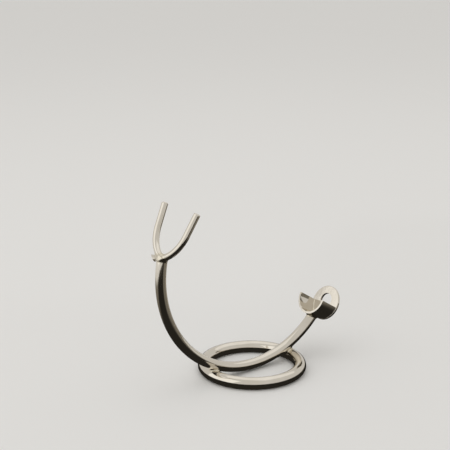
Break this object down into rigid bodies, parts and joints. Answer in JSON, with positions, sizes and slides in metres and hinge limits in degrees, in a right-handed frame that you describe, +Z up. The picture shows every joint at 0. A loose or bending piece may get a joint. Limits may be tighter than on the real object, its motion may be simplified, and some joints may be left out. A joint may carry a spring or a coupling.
{
  "type": "razor stand",
  "caption": "Small plated stand: a C-shaped rod brazed across a round base ring, with a wire fork at its high end and a trough-shaped cradle at its low end that hold a razor.",
  "frame": {"origin": "centre of the footprint box of the whole stand, on the surface that it stands on", "axes": "+Z up; +X along the arm's plane from the fork towards the cradle; +Y completes the right-handed set, away from the side with the front prong"},
  "size_m": [0.1008, 0.0498, 0.0837],
  "materials": {
    "plated_metal": "mirror-polished warm nickel plate",
    "braze": "polished braze under the same thin plate"
  },
  "bodies": {
    "root": {"base_ring": "plated_metal", "curved_arm": "plated_metal", "fork_front_prong": "plated_metal", "fork_rear_prong": "plated_metal", "cradle_trough": "plated_metal", "cradle_end_disc": "plated_metal", "ring_braze_front": "braze", "ring_braze_rear": "braze", "fork_braze": "braze", "cradle_braze": "braze", "cradle_seam_braze": "braze"}
  },
  "joints": []
}
